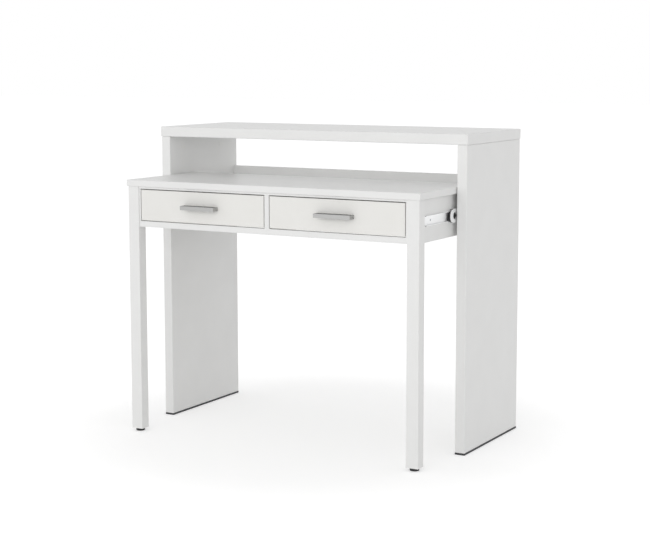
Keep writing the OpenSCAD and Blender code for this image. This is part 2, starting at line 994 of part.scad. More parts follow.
handle_screw_d = 4;
handle_screw_bite = 9;
handle_screw_head_d = 8;
handle_screw_head_t = 2.4;

module handle_screw() {
    rod_y([0, -drawer_front_t - handle_screw_bite, 0], handle_screw_d,
        drawer_front_t + handle_screw_bite + join);
    rod_y([0, 0, 0], handle_screw_head_d, handle_screw_head_t);
}

module handle_screw_space() {
    rod_y([0, -drawer_front_t - handle_screw_bite - bore_end_room, 0], handle_screw_d + 2 * bore_gap,
        drawer_front_t + handle_screw_bite + bore_end_room + overcut);
}

// Dowels between a drawer's front and its sides, and screws through its sides into its back
module at_drawer_front_dowels() {
    for (x = [drawer_w0 + drawer_board_t / 2, drawer_w1 - drawer_board_t / 2])
        translate([x, drawer_y, window_mid_z])
            rotate([90, 0, 0])
                children();
}

module at_drawer_back_screws() {
    for (part = drawer_back_screw_places)
        translate([0, drawer_back_y - drawer_board_t / 2, drawer_z + drawer_side_h * part]) {
            translate([drawer_w0, 0, 0])
                rotate([0, -90, 0])
                    children();
            translate([drawer_w1, 0, 0])
                rotate([0, 90, 0])
                    children();
        }
}

module drawer_front(side) {
    color("whitesmoke")
        on_side(side)
            difference() {
                board([divider_x + drawer_front_gap, frame_y, window_z + drawer_front_gap],
                    [rail_inner_x - drawer_front_gap, drawer_y, window_top_z - drawer_front_gap]);
                at_handle_screws() handle_screw_space();
                at_drawer_front_dowels() thin_dowel_space();
            }
}

// The drawer's bottom, drawn with a gap so that it can also cut its own groove
module bottom_board(gap) {
    reach = drawer_groove + gap;
    board([drawer_w0 + drawer_board_t - reach, drawer_y - overcut, drawer_bottom_z - gap],
        [drawer_w1 - drawer_board_t + reach, drawer_back_y - drawer_board_t + reach,
            drawer_bottom_z + drawer_bottom_t + gap]);
}

module drawer_side(side, place) {
    x0 = place == "outer" ? drawer_w1 - drawer_board_t : drawer_w0;
    color("gainsboro")
        on_side(side)
            difference() {
                board([x0, drawer_y, drawer_z],
                    [x0 + drawer_board_t, drawer_back_y, drawer_z + drawer_side_h]);
                bottom_board(bore_gap);
                at_drawer_front_dowels() thin_dowel_space();
                at_drawer_back_screws() screw_space(back_screw_len);
                at_outer_runner_screws() screw_space(track_screw_len);
                at_inner_runner_screws() screw_space(track_screw_len);
            }
}

module drawer_back(side) {
    color("gainsboro")
        on_side(side)
            difference() {
                board([drawer_w0 + drawer_board_t, drawer_back_y - drawer_board_t, drawer_z],
                    [drawer_w1 - drawer_board_t, drawer_back_y, drawer_z + drawer_side_h]);
                bottom_board(bore_gap);
                at_drawer_back_screws() screw_space(back_screw_len);
            }
}

module drawer_bottom(side) {
    color("gainsboro")
        on_side(side)
            difference() {
                bottom_board(0);
                board([drawer_w0, drawer_y - 2 * overcut, drawer_z],
                    [drawer_w1, drawer_y, drawer_z + drawer_side_h]);
            }
}

// The handle has a bar, two end posts and a closed top, and the fingers reach in from below
handle_corner_r = 1.5;
handle_finger_r = 3;

module handle_outline() {
    translate([-handle_len / 2, handle_corner_r - handle_d])
        square([handle_len, handle_d - handle_corner_r]);
    translate([-handle_len / 2 + handle_corner_r, -handle_d])
        square([handle_len - 2 * handle_corner_r, handle_corner_r + join]);
    for (end = [-1, 1])
        translate([end * (handle_len / 2 - handle_corner_r), handle_corner_r - handle_d])
            circle(r = handle_corner_r);
}

module handle_finger_room() {
    bar_back_y = handle_bar_t - handle_d;
    inner_x = handle_len / 2 - handle_post_w;
    translate([-inner_x, bar_back_y + handle_finger_r])
        square([2 * inner_x, handle_d]);
    translate([-inner_x + handle_finger_r, bar_back_y])
        square([2 * (inner_x - handle_finger_r), handle_d]);
    for (end = [-1, 1])
        translate([end * (inner_x - handle_finger_r), bar_back_y + handle_finger_r])
            circle(r = handle_finger_r);
}

module drawer_handle(side) {
    color("darkgray")
        on_side(side)
            difference() {
                translate([drawer_mid_x, frame_y, window_mid_z - handle_h / 2])
                    difference() {
                        linear_extrude(handle_h)
                            handle_outline();
                        translate([0, 0, -overcut])
                            linear_extrude(handle_h - handle_top_t + overcut)
                                handle_finger_room();
                    }
                at_handle_screws() handle_screw_space();
            }
}

module drawer_fasteners(side) {
    color("silver")
        on_side(side) {
            at_handle_screws() handle_screw();
            at_drawer_front_dowels() thin_dowel();
            at_drawer_back_screws() screw(back_screw_len);
            at_outer_runner_screws() screw(track_screw_len);
            at_inner_runner_screws() screw(track_screw_len);
        }
}

console_top();
side_panel(LEFT);  // left_side_panel
side_panel(RIGHT);  // right_side_panel
back_rail();
floor_strip(LEFT);  // left_floor_strip
floor_strip(RIGHT);  // right_floor_strip
floor_strip_screws();
console_dowels();
console_cam_fittings();
console_cam_caps();
slide_outer_member(LEFT);  // left_slide_outer_member
slide_outer_member(RIGHT);  // right_slide_outer_member
slide_outer_screws();
slide_outer_cage(LEFT);  // left_slide_outer_cage
slide_outer_cage(RIGHT);  // right_slide_outer_cage
slide_middle_member(LEFT);  // left_slide_middle_member
slide_middle_member(RIGHT);  // right_slide_middle_member
slide_stop(LEFT);  // left_slide_stop
slide_stop(RIGHT);  // right_slide_stop
slide_inner_cage(LEFT);  // left_slide_inner_cage
slide_inner_cage(RIGHT);  // right_slide_inner_cage
slide_inner_member(LEFT);  // left_slide_inner_member
slide_inner_member(RIGHT);  // right_slide_inner_member
desk_top();
leg(LEFT);  // left_leg
leg(RIGHT);  // right_leg
side_rail(LEFT);  // left_side_rail
side_rail(RIGHT);  // right_side_rail
front_frame();
drawer_divider();
rear_rail();
glide(LEFT);  // left_glide
glide(RIGHT);  // right_glide
desk_dowels();
desk_cam_fittings();
desk_screws();
drawer_track(LEFT, "outer");  // left_drawer_outer_track
drawer_track(LEFT, "inner");  // left_drawer_inner_track
drawer_track(RIGHT, "outer");  // right_drawer_outer_track
drawer_track(RIGHT, "inner");  // right_drawer_inner_track
drawer_ball_cages(LEFT);  // left_drawer_ball_cages
drawer_ball_cages(RIGHT);  // right_drawer_ball_cages
drawer_runner(LEFT, "outer");  // left_drawer_outer_runner
drawer_runner(LEFT, "inner");  // left_drawer_inner_runner
drawer_runner(RIGHT, "outer");  // right_drawer_outer_runner
drawer_runner(RIGHT, "inner");  // right_drawer_inner_runner
drawer_front(LEFT);  // left_drawer_front
drawer_side(LEFT, "outer");  // left_drawer_outer_side
drawer_side(LEFT, "inner");  // left_drawer_inner_side
drawer_back(LEFT);  // left_drawer_back
drawer_bottom(LEFT);  // left_drawer_bottom
drawer_handle(LEFT);  // left_drawer_handle
drawer_fasteners(LEFT);  // left_drawer_fasteners
drawer_front(RIGHT);  // right_drawer_front
drawer_side(RIGHT, "outer");  // right_drawer_outer_side
drawer_side(RIGHT, "inner");  // right_drawer_inner_side
drawer_back(RIGHT);  // right_drawer_back
drawer_bottom(RIGHT);  // right_drawer_bottom
drawer_handle(RIGHT);  // right_drawer_handle
drawer_fasteners(RIGHT);  // right_drawer_fasteners
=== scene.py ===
# %% [markdown]
# # A white desk that slides out from under a console table
#
# The object is a console table with two side panels, and a desk with two drawers that pulls out
# from under its top on two telescopic slides. Its parts come from an exact model. This lesson
# dresses them: eased edges, cross-head screws, and one material for each finish. Then it lights
# them softly, as in a photograph for a catalogue.
#
# Lengths are in metres. X runs across, Y from front to back, and Z up from the floor.

# %% Load the exact model
import json
import math

import bmesh
import bpy
from mathutils import Matrix, Vector


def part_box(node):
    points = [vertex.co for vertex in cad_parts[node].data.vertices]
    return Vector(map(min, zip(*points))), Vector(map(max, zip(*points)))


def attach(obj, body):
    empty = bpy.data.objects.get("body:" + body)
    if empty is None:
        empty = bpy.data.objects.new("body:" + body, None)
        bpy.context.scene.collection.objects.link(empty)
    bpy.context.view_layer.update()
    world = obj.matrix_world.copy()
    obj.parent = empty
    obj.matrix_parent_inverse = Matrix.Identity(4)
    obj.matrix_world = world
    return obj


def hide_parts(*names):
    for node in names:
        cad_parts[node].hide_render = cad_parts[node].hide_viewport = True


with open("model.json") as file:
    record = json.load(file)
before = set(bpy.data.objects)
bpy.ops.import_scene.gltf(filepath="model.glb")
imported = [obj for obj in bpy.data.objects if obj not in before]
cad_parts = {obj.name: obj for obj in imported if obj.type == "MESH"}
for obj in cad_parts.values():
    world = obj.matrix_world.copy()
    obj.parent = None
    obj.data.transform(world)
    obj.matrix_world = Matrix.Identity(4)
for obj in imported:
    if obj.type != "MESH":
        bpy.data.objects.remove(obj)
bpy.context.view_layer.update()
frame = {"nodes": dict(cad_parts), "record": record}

nodes = frame["nodes"]
MM = 0.001

# %% [markdown]
# ## The camera
#
# The desk was photographed from its right, a little above its top, with a long lens. A long lens
# seen from afar keeps far edges nearly as large as near ones, so the camera's distance matters as
# much as its direction. The picture is 650 by 551 pixels, and the focal length is counted in those
# pixels first, because that is how edges in a picture are measured.

# %% Place the camera
IMAGE_WIDTH = 650  # pixels
SENSOR = 36.0  # millimetres
FOCAL_PIXELS = 1512.9
CAMERA_PLACE = Vector((2.146, -3.697, 1.061))
TURN, TILT, ROLL = (math.radians(a) for a in (29.84, -6.93, -0.09))
SHIFT_UP = -0.05  # of the picture's width

camera_data = bpy.data.cameras.new("camera")
camera_data.sensor_width = SENSOR
camera_data.lens = FOCAL_PIXELS / IMAGE_WIDTH * SENSOR
camera_data.shift_y = SHIFT_UP
camera = bpy.data.objects.new("camera", camera_data)
bpy.context.scene.collection.objects.link(camera)
camera.matrix_world = (
    Matrix.Translation(CAMERA_PLACE)
    @ Matrix.Rotation(TURN, 4, "Z")
    @ Matrix.Rotation(math.pi / 2 + TILT, 4, "X")
    @ Matrix.Rotation(ROLL, 4, "Z")
)
bpy.context.scene.camera = camera
print("lens in mm:", round(camera_data.lens, 1))

# %% [markdown]
# ## Helpers for materials
#
# Colours are picked as they look on a screen, in hex. A shader counts light, so each value is
# turned linear first. The second helper adds a node, sets its properties, and fills its inputs
# with values or with links. The third makes an empty material.
#
# Patterns are drawn on Object coordinates, which are metres here. A noise texture makes about one
# wave per unit, so its scale is one over the size of a wave. Each finish below names that size.

# %% Helpers
def linear(code):
    """Turns a hex colour, as seen on a screen, into the linear colour that a shader takes."""
    parts = [int(code[i : i + 2], 16) / 255 for i in (1, 3, 5)]
    light = [p / 12.92 if p <= 0.04045 else ((p + 0.055) / 1.055) ** 2.4 for p in parts]
    return (*light, 1.0)


def add(tree, kind, inputs=None, **settings):
    """Adds a node. An input is given by name or number, and takes a value or another's output."""
    node = tree.nodes.new(kind)
    for name, value in settings.items():
        setattr(node, name, value)
    for name, value in (inputs or {}).items():
        if isinstance(value, bpy.types.NodeSocket):
            tree.links.new(value, node.inputs[name])
        else:
            node.inputs[name].default_value = value
    return node


def new_material(name):
    """Makes an empty material and returns it with its node tree."""
    material = bpy.data.materials.new(name)
    material.use_nodes = True
    material.node_tree.nodes.clear()
    return material, material.node_tree


# Numbers of a colour mix's inputs and of its output, which share names with its other kinds
MIX_FACTOR, MIX_A, MIX_B, MIX_OUT = 0, 6, 7, 2
print("white is", linear("#FFFFFF"), "and middle grey", round(linear("#808080")[0], 3))

# %% [markdown]
# ## White boards
#
# The boards are light panels covered in a white lacquered foil, rolled on and pressed. Pressing
# leaves a faint orange peel, waves about two millimetres long and a few hundredths high, which
# break up reflections just enough to stop the board from looking like glass. The tone wanders by
# about one part in a hundred over a hand's breadth, and handling has rubbed the gloss in patches.
# All three are noise.

# %% White lacquered foil
CLOUD, RUBBED_PATCH, PEEL_WAVE, PEEL_HEIGHT = 83 * MM, 29 * MM, 2.2 * MM, 0.03 * MM

white_foil, tree = new_material("white_lacquered_foil")
place = add(tree, "ShaderNodeTexCoord").outputs["Object"]
tone = add(tree, "ShaderNodeTexNoise", {"Vector": place, "Scale": 1 / CLOUD, "Detail": 2.0})
white = add(
    tree,
    "ShaderNodeMix",
    {MIX_FACTOR: tone.outputs[0], MIX_A: linear("#EBEBEA"), MIX_B: linear("#F1F1F0")},
    data_type="RGBA",
)
peel = add(tree, "ShaderNodeTexNoise", {"Vector": place, "Scale": 1 / PEEL_WAVE, "Detail": 2.0})
waves = add(
    tree, "ShaderNodeBump", {"Height": peel.outputs[0], "Strength": 0.35, "Distance": PEEL_HEIGHT}
)
rub = add(tree, "ShaderNodeTexNoise", {"Vector": place, "Scale": 1 / RUBBED_PATCH, "Detail": 3.0})
gloss = add(
    tree, "ShaderNodeMapRange", {"Value": rub.outputs[0], "To Min": 0.3, "To Max": 0.38}
)
shader = add(
    tree,
    "ShaderNodeBsdfPrincipled",
    {
        "Base Color": white.outputs[MIX_OUT],
        "Roughness": gloss.outputs[0],
        "IOR": 1.5,
        "Normal": waves.outputs[0],
    },
)
add(tree, "ShaderNodeOutputMaterial", {"Surface": shader.outputs[0]})
print("made", white_foil.name)

# %% [markdown]
# ## Drawer fronts
#
# The fronts are painted boards of a slightly warmer white than the foil, and a little duller. A
# sprayed coat settles in finer waves than a pressed foil.

# %% Sprayed drawer fronts
COAT_CLOUD, SPRAY_WAVE, SPRAY_HEIGHT = 67 * MM, 1.25 * MM, 0.02 * MM

front_paint, tree = new_material("sprayed_warm_white_paint")
place = add(tree, "ShaderNodeTexCoord").outputs["Object"]
tone = add(tree, "ShaderNodeTexNoise", {"Vector": place, "Scale": 1 / COAT_CLOUD, "Detail": 2.0})
white = add(
    tree,
    "ShaderNodeMix",
    {MIX_FACTOR: tone.outputs[0], MIX_A: linear("#EAE9E5"), MIX_B: linear("#F0EFEC")},
    data_type="RGBA",
)
spray = add(tree, "ShaderNodeTexNoise", {"Vector": place, "Scale": 1 / SPRAY_WAVE, "Detail": 3.0})
waves = add(
    tree,
    "ShaderNodeBump",
    {"Height": spray.outputs[0], "Strength": 0.35, "Distance": SPRAY_HEIGHT},
)
gloss = add(
    tree, "ShaderNodeMapRange", {"Value": tone.outputs[0], "To Min": 0.42, "To Max": 0.5}
)
shader = add(
    tree,
    "ShaderNodeBsdfPrincipled",
    {
        "Base Color": white.outputs[MIX_OUT],
        "Roughness": gloss.outputs[0],
        "IOR": 1.5,
        "Normal": waves.outputs[0],
    },
)
add(tree, "ShaderNodeOutputMaterial", {"Surface": shader.outputs[0]})
print("made", front_paint.name)

# %% [markdown]
# ## Drawer boxes and bottoms
#
# Nobody pays for a fine finish inside a drawer. The sides and back are thin boards in a pale grey
# melamine with a woven emboss, whose threads are drawn two millimetres apart, coarser than real
# ones, so that they show. The bottom is hardboard, whose pressed fibres show as short flecks under
# a thin coat of paint. A wave texture makes 20 / (2 pi) bands per unit.

# %% Melamine
THREAD_SPACING, THREAD_HEIGHT = 1.96 * MM, 0.04 * MM

melamine, tree = new_material("pale_grey_melamine")
place = add(tree, "ShaderNodeTexCoord").outputs["Object"]
thread = add(
    tree,
    "ShaderNodeTexWave",
    {
        "Vector": place,
        "Scale": 2 * math.pi / 20 / THREAD_SPACING,
        "Distortion": 1.5,
        "Detail": 2.0,
    },
)
grey = add(
    tree,
    "ShaderNodeMix",
    {MIX_FACTOR: thread.outputs[1], MIX_A: linear("#DCDBD7"), MIX_B: linear("#E6E5E2")},
    data_type="RGBA",
)
emboss = add(
    tree,
    "ShaderNodeBump",
    {"Height": thread.outputs[1], "Strength": 0.3, "Distance": THREAD_HEIGHT},
)
shader = add(
    tree,
    "ShaderNodeBsdfPrincipled",
    {"Base Color": grey.outputs[MIX_OUT], "Roughness": 0.5, "Normal": emboss.outputs[0]},
)
add(tree, "ShaderNodeOutputMaterial", {"Surface": shader.outputs[0]})
print("made", melamine.name)

# %% Hardboard
FIBRE_LENGTH, FIBRE_WIDTH, FLECK_HEIGHT = 5.6 * MM, 1.28 * MM, 0.08 * MM

hardboard, tree = new_material("painted_hardboard")
place = add(tree, "ShaderNodeTexCoord").outputs["Object"]
stretch = add(
    tree,
    "ShaderNodeMapping",
    {"Vector": place, "Scale": (1 / FIBRE_LENGTH, 1 / FIBRE_WIDTH, 1 / FIBRE_WIDTH)},
)
fibre = add(
    tree, "ShaderNodeTexNoise", {"Vector": stretch.outputs[0], "Scale": 1.0, "Detail": 4.0}
)
pale = add(
    tree,
    "ShaderNodeMix",
    {MIX_FACTOR: fibre.outputs[0], MIX_A: linear("#D3CFC6"), MIX_B: linear("#E4E1DA")},
    data_type="RGBA",
)
fleck = add(
    tree, "ShaderNodeBump", {"Height": fibre.outputs[0], "Strength": 0.4, "Distance": FLECK_HEIGHT}
)
shader = add(
    tree,
    "ShaderNodeBsdfPrincipled",
    {"Base Color": pale.outputs[MIX_OUT], "Roughness": 0.65, "Normal": fleck.outputs[0]},
)
add(tree, "ShaderNodeOutputMaterial", {"Surface": shader.outputs[0]})
print("made", hardboard.name)

# %% [markdown]
# ## Handles
#
# The handles are of satin aluminium, brushed along their length. Brushing leaves fine lines, so
# the noise is stretched: long along X, narrow across. Real lines are a few hundredths of a
# millimetre apart, too fine to show here, so they are drawn about a third of a millimetre apart.
# The front and the ends are brushed and bright. The top, the face that looks up, is painted dark
# as painted shade, so the way a face looks decides its tone.

# %% Brushed aluminium
LINE_LENGTH, LINE_SPACING, LINE_DEPTH = 40 * MM, MM / 3, 0.02 * MM
# How far up a face has to look, as its normal's Z, to start and to end the change to painted shade
PAINTED_SHADE_FROM, PAINTED_SHADE_TO = 0.4, 0.8

aluminium, tree = new_material("brushed_aluminium")
place = add(tree, "ShaderNodeTexCoord").outputs["Object"]
along = add(
    tree,
    "ShaderNodeMapping",
    {"Vector": place, "Scale": (1 / LINE_LENGTH, 1 / LINE_SPACING, 1 / LINE_SPACING)},
)
lines = add(tree, "ShaderNodeTexNoise", {"Vector": along.outputs[0], "Scale": 1.0, "Detail": 3.0})
bright = add(
    tree,
    "ShaderNodeMix",
    {MIX_FACTOR: lines.outputs[0], MIX_A: linear("#A8A8A7"), MIX_B: linear("#B8B8B7")},
    data_type="RGBA",
)
# Painted shade: a dark colour for the faces that look up, which stands for the shade on the tops
painted_top_shade = add(
    tree,
    "ShaderNodeMix",
    {MIX_FACTOR: lines.outputs[0], MIX_A: linear("#3C3C3C"), MIX_B: linear("#484848")},
    data_type="RGBA",
)
looks = add(
    tree, "ShaderNodeSeparateXYZ", {0: add(tree, "ShaderNodeNewGeometry").outputs["True Normal"]}
)
upward = add(
    tree,
    "ShaderNodeMapRange",
    {"Value": looks.outputs["Z"], "From Min": PAINTED_SHADE_FROM, "From Max": PAINTED_SHADE_TO},
)
metal = add(
    tree,
    "ShaderNodeMix",
    {MIX_FACTOR: upward.outputs[0], MIX_A: bright.outputs[MIX_OUT], MIX_B: painted_top_shade.outputs[MIX_OUT]},
    data_type="RGBA",
)
brushing = add(
    tree, "ShaderNodeBump", {"Height": lines.outputs[0], "Strength": 0.5, "Distance": LINE_DEPTH}
)
gloss = add(
    tree, "ShaderNodeMapRange", {"Value": lines.outputs[0], "To Min": 0.3, "To Max": 0.45}
)
shader = add(
    tree,
    "ShaderNodeBsdfPrincipled",
    {
        "Base Color": metal.outputs[MIX_OUT],
        "Metallic": 1.0,
        "Roughness": gloss.outputs[0],
        "Normal": brushing.outputs[0],
    },
)
add(tree, "ShaderNodeOutputMaterial", {"Surface": shader.outputs[0]})
print("made", aluminium.name)

# %% [markdown]
# ## Slides, screws and cam fittings
#
# Slides are rolled from steel strip and plated with zinc, which is bright, slightly blue and a
# little cloudy. Their ends are painted near black as painted shade, so the eye sees where each
# member stops. Screws and cams are plated too, but tumbled in bulk, so they are duller and carry
# small marks.

# %% Bright zinc
STREAK_LENGTH, STREAK_WIDTH = 33 * MM, 2.5 * MM
# How far along the slide a face has to look, as its normal's Y, to count as an end and take the
# painted shade
SHADED_END_FROM, SHADED_END_TO = 0.9, 0.98

zinc, tree = new_material("bright_zinc_plated_steel")
place = add(tree, "ShaderNodeTexCoord").outputs["Object"]
rolled = add(
    tree,
    "ShaderNodeMapping",
    {"Vector": place, "Scale": (1 / STREAK_WIDTH, 1 / STREAK_LENGTH, 1 / STREAK_WIDTH)},
)
streaks = add(
    tree, "ShaderNodeTexNoise", {"Vector": rolled.outputs[0], "Scale": 1.0, "Detail": 4.0}
)
plating = add(
    tree,
    "ShaderNodeMix",
    {MIX_FACTOR: streaks.outputs[0], MIX_A: linear("#F2F3F4"), MIX_B: linear("#FCFCFC")},
    data_type="RGBA",
)
# Painted shade: a near-black colour for the end faces of the members
painted_end_shade = add(
    tree,
    "ShaderNodeMix",
    {MIX_FACTOR: streaks.outputs[0], MIX_A: linear("#2E2E30"), MIX_B: linear("#3C3C3E")},
    data_type="RGBA",
)
looks = add(
    tree, "ShaderNodeSeparateXYZ", {0: add(tree, "ShaderNodeNewGeometry").outputs["True Normal"]}
)
endways = add(tree, "ShaderNodeMath", {0: looks.outputs["Y"]}, operation="ABSOLUTE")
at_end = add(
    tree,
    "ShaderNodeMapRange",
    {"Value": endways.outputs[0], "From Min": SHADED_END_FROM, "From Max": SHADED_END_TO},
)
steel = add(
    tree,
    "ShaderNodeMix",
    {
        MIX_FACTOR: at_end.outputs[0],
        MIX_A: plating.outputs[MIX_OUT],
        MIX_B: painted_end_shade.outputs[MIX_OUT],
    },
    data_type="RGBA",
)
gloss = add(
    tree, "ShaderNodeMapRange", {"Value": streaks.outputs[0], "To Min": 0.5, "To Max": 0.62}
)
shader = add(
    tree,
    "ShaderNodeBsdfPrincipled",
    {"Base Color": steel.outputs[MIX_OUT], "Metallic": 1.0, "Roughness": gloss.outputs[0]},
)
add(tree, "ShaderNodeOutputMaterial", {"Surface": shader.outputs[0]})
print("made", zinc.name)

# %% Tumbled zinc
MARK_SIZE, DENT_DEPTH = 1.1 * MM, 0.03 * MM

dull_zinc, tree = new_material("tumbled_zinc_plated_steel")
place = add(tree, "ShaderNodeTexCoord").outputs["Object"]
marks = add(tree, "ShaderNodeTexNoise", {"Vector": place, "Scale": 1 / MARK_SIZE, "Detail": 4.0})
plating = add(
    tree,
    "ShaderNodeMix",
    {MIX_FACTOR: marks.outputs[0], MIX_A: linear("#9EA1A4"), MIX_B: linear("#C6C9CB")},
    data_type="RGBA",
)
dents = add(
    tree, "ShaderNodeBump", {"Height": marks.outputs[0], "Strength": 0.4, "Distance": DENT_DEPTH}
)
shader = add(
    tree,
    "ShaderNodeBsdfPrincipled",
    {
        "Base Color": plating.outputs[MIX_OUT],
        "Metallic": 1.0,
        "Roughness": 0.38,
        "Normal": dents.outputs[0],
    },
)
add(tree, "ShaderNodeOutputMaterial", {"Surface": shader.outputs[0]})
print("made", dull_zinc.name)

# %% [markdown]
# ## Plastics and beech
#
# The stops and the glides are moulded in black plastic with a fine spark-eroded grain. The floor
# strips are softer and greyer, the cover caps white. The dowels are beech, fluted and pressed,
# with short darker pores. Each of these is small, so one noise for its grain is enough.

# %% Plastics and beech
small_finishes = {
    # name: darker and lighter colour, grain size in mm, grain height in mm, roughness
    "black_moulded_plastic": ("#121213", "#1E1E1F", 0.6, 0.03, 0.48),
    "grey_soft_plastic": ("#38383A", "#48484A", 0.9, 0.05, 0.7),
    "white_moulded_plastic": ("#EAEAE8", "#F1F1EF", 0.8, 0.01, 0.35),
    "pressed_beech": ("#C49A6C", "#DDB98D", 1.2, 0.08, 0.6),
}
small = {}
for name, (dark, light, grain_mm, height_mm, rough) in small_finishes.items():
    small[name], tree = new_material(name)
    place = add(tree, "ShaderNodeTexCoord").outputs["Object"]
    grain = add(
        tree, "ShaderNodeTexNoise", {"Vector": place, "Scale": 1 / (grain_mm * MM), "Detail": 3.0}
    )
    colour = add(
        tree,
        "ShaderNodeMix",
        {MIX_FACTOR: grain.outputs[0], MIX_A: linear(dark), MIX_B: linear(light)},
        data_type="RGBA",
    )
    relief = add(
        tree,
        "ShaderNodeBump",
        {"Height": grain.outputs[0], "Strength": 0.5, "Distance": height_mm * MM},
    )
    shader = add(
        tree,
        "ShaderNodeBsdfPrincipled",
        {
            "Base Color": colour.outputs[MIX_OUT],
            "Roughness": rough,
            "Normal": relief.outputs[0],
        },
    )
    add(tree, "ShaderNodeOutputMaterial", {"Surface": shader.outputs[0]})
print("made", ", ".join(small))

# %% [markdown]
# ## Dress the parts
#
# The record of the model names a finish for each part, so the parts are dressed from that list
# and none is forgotten.

# %% Give each part its finish
finishes = {
    "white_board": white_foil,
    "drawer_front_board": front_paint,
    "drawer_box_board": melamine,
    "hardboard": hardboard,
    "handle_aluminium": aluminium,
    "zinc_steel": zinc,
    "zinc_fittings": dull_zinc,
    "slide_cage": dull_zinc,
    "black_plastic": small["black_moulded_plastic"],
    "floor_strip_plastic": small["grey_soft_plastic"],
    "white_plastic": small["white_moulded_plastic"],
    "beech": small["pressed_beech"],
}
for row in frame["record"]["subparts"]:
    nodes[row["node"]].material_slots[0].material = finishes[row["material_slot"]]

# %% [markdown]
# ## Eased edges
#
# No real board has a knife edge. The thick boards are rounded by about two millimetres before the
# foil goes on, the thin ones are only scraped, and that small round catches a line of light or
# shade, which tells the eye how thick the board is. The model's parts are loose triangles with
# normals of their own. So the normals are dropped, a Weld modifier joins the triangles, and a
# planar Decimate makes one face of each flat side. In the picture a round is about a pixel wide,
# so flat shading does for it.
#
# A maker eases the outer edges of a board and leaves its drilled holes sharp. A hole's rim is a
# chain of short edges, so a small tree of geometry nodes marks only edges that are long and stand
# outward, and the Bevel rounds what is marked. A geometry nodes modifier knows its inputs by
# identifiers, so a helper finds these from the names. Loop slide is off, because with it a corner
# near a bore can be pushed past the board's face.

# %% Build the tree that marks long edges
def long_edge_tree():
    """Gives each edge that is long and sharp outward a bevel weight of one."""
    tree = bpy.data.node_groups.new("mark_long_edges", "GeometryNodeTree")
    face = tree.interface
    face.new_socket("Geometry", in_out="INPUT", socket_type="NodeSocketGeometry")
    face.new_socket("Least Angle", in_out="INPUT", socket_type="NodeSocketFloat")
    face.new_socket("Least Length", in_out="INPUT", socket_type="NodeSocketFloat")
    face.new_socket("Geometry", in_out="OUTPUT", socket_type="NodeSocketGeometry")
    given = add(tree, "NodeGroupInput").outputs
    turn = add(tree, "GeometryNodeInputMeshEdgeAngle").outputs["Signed Angle"]
    ends = add(tree, "GeometryNodeInputMeshEdgeVertices").outputs
    length = add(
        tree,
        "ShaderNodeVectorMath",
        {0: ends["Position 1"], 1: ends["Position 2"]},
        operation="DISTANCE",
    )
    above = {"data_type": "FLOAT", "operation": "GREATER_THAN"}
    sharp = add(tree, "FunctionNodeCompare", {0: turn, 1: given["Least Angle"]}, **above)
    long = add(
        tree,
        "FunctionNodeCompare",
        {0: length.outputs["Value"], 1: given["Least Length"]},
        **above,
    )
    both = add(tree, "FunctionNodeBooleanMath", {0: sharp.outputs[0], 1: long.outputs[0]})
    marked = add(
        tree,
        "GeometryNodeStoreNamedAttribute",
        {"Geometry": given["Geometry"], "Name": "bevel_weight_edge", "Value": both.outputs[0]},
        data_type="FLOAT",
        domain="EDGE",
    )
    add(tree, "NodeGroupOutput", {"Geometry": marked.outputs[0]})
    return tree


def set_inputs(modifier, values):
    """Sets a geometry nodes modifier's inputs from a table of their names and values."""
    for item in modifier.node_group.interface.items_tree:
        if item.in_out == "INPUT" and item.name in values:
            modifier[item.identifier] = values[item.name]


edge_tree = long_edge_tree()
print("tree nodes:", len(edge_tree.nodes))

# %% Ease the edges of boards, handles and floor strips
EASED_FINISHES = (
    "white_board", "drawer_front_board", "drawer_box_board", "handle_aluminium",
    "floor_strip_plastic",
)
# Radius of the rounds, by a part of the board's name. The empty name, last, stands for the rest.
EASE = {
    "drawer_handle": 0.5 * MM, "floor_strip": 0.4 * MM, "console_top": 2.0 * MM,
    "side_panel": 2.0 * MM, "desk_top": 1.5 * MM, "_leg": 1.5 * MM, "": 0.7 * MM,
}
WELD_REACH = 0.01 * MM
FLAT_WITHIN = math.radians(0.5)
LEAST_ANGLE = math.radians(60)
LEAST_LENGTH = 4 * MM
ROUND_STEPS = 3

eased = [
    row["node"] for row in frame["record"]["subparts"] if row["material_slot"] in EASED_FINISHES
]
for name in eased:
    mesh = nodes[name].data
    if "custom_normal" in mesh.attributes:
        mesh.attributes.remove(mesh.attributes["custom_normal"])
    mesh.polygons.foreach_set("use_smooth", [False] * len(mesh.polygons))
    weld = nodes[name].modifiers.new("join_triangles", "WELD")
    weld.merge_threshold = WELD_REACH
    whole = nodes[name].modifiers.new("whole_faces", "DECIMATE")
    whole.decimate_type = "DISSOLVE"
    whole.angle_limit = FLAT_WITHIN
    mark = nodes[name].modifiers.new("mark_edges", "NODES")
    mark.node_group = edge_tree
    set_inputs(mark, {"Least Angle": LEAST_ANGLE, "Least Length": LEAST_LENGTH})
    bevel = nodes[name].modifiers.new("ease_edges", "BEVEL")
    bevel.width = next(w for key, w in EASE.items() if key in name)
    bevel.segments = ROUND_STEPS
    bevel.limit_method = "WEIGHT"
    bevel.loop_slide = False
print("eased", len(eased), "of", len(nodes), "parts")

# %% [markdown]
# ## Cross-head screws
#
# Countersunk screws hold each slide and each drawer track. They differ only in length, so one
# screw is modelled in Geometry Nodes, a cone on a rod with a cross cut from its head, and set out
# along a line at the places where the members are drilled. The rod's end lies in the plane of the
# cone's face, and only the exact solver joins and cuts such faces cleanly.

# %% Build the tree for a row of screws
SCREW_SIDES = 24


